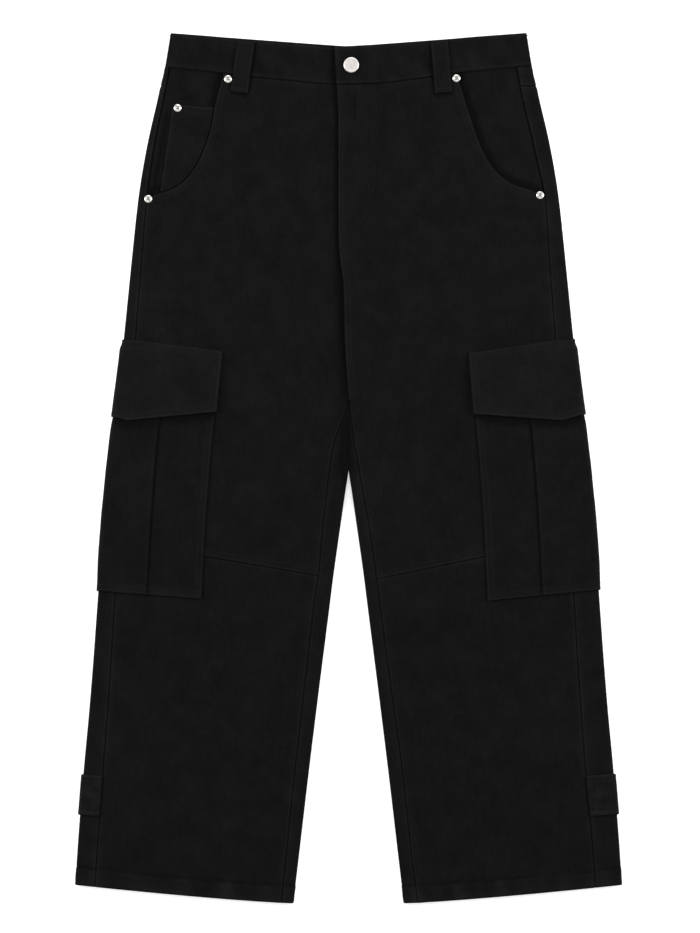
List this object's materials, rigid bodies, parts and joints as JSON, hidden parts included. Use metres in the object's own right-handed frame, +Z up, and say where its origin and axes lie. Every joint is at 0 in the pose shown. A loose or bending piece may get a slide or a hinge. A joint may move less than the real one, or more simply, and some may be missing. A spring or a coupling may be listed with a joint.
{
  "type": "cargo pants",
  "caption": "Wide-leg cotton cargo pants laid flat, with slant pockets, box-pleated flap pockets on the side seams and hem tabs.",
  "frame": {"origin": "centre of the garment's outline, on the surface it lies on", "axes": "+X across the garment towards the wearer's left, +Y along it from the hems up to the waist, +Z up from the surface, out of the garment's front"},
  "size_m": [0.6564, 1.0448, 0.0149],
  "materials": {
    "twill": "washed black cotton twill, matt, faintly mottled",
    "hardware": "bright nickel-plated brass, softly polished"
  },
  "bodies": {
    "root": {"waistband_right": "twill", "belt_loop_right": "twill", "front_upper_right": "twill", "front_lower_right": "twill", "pocket_facing_right": "twill", "back_yoke_right": "twill", "back_right": "twill", "cargo_pocket_right": "twill", "cargo_flap_right": "twill", "hem_tab_right": "twill", "waistband_left": "twill", "belt_loop_left": "twill", "front_upper_left": "twill", "front_lower_left": "twill", "pocket_facing_left": "twill", "back_yoke_left": "twill", "back_left": "twill", "cargo_pocket_left": "twill", "cargo_flap_left": "twill", "hem_tab_left": "twill", "coin_pocket": "twill", "button": "hardware", "rivet_1": "hardware", "rivet_2": "hardware", "rivet_3": "hardware", "rivet_4": "hardware", "rivet_5": "hardware"}
  },
  "joints": []
}
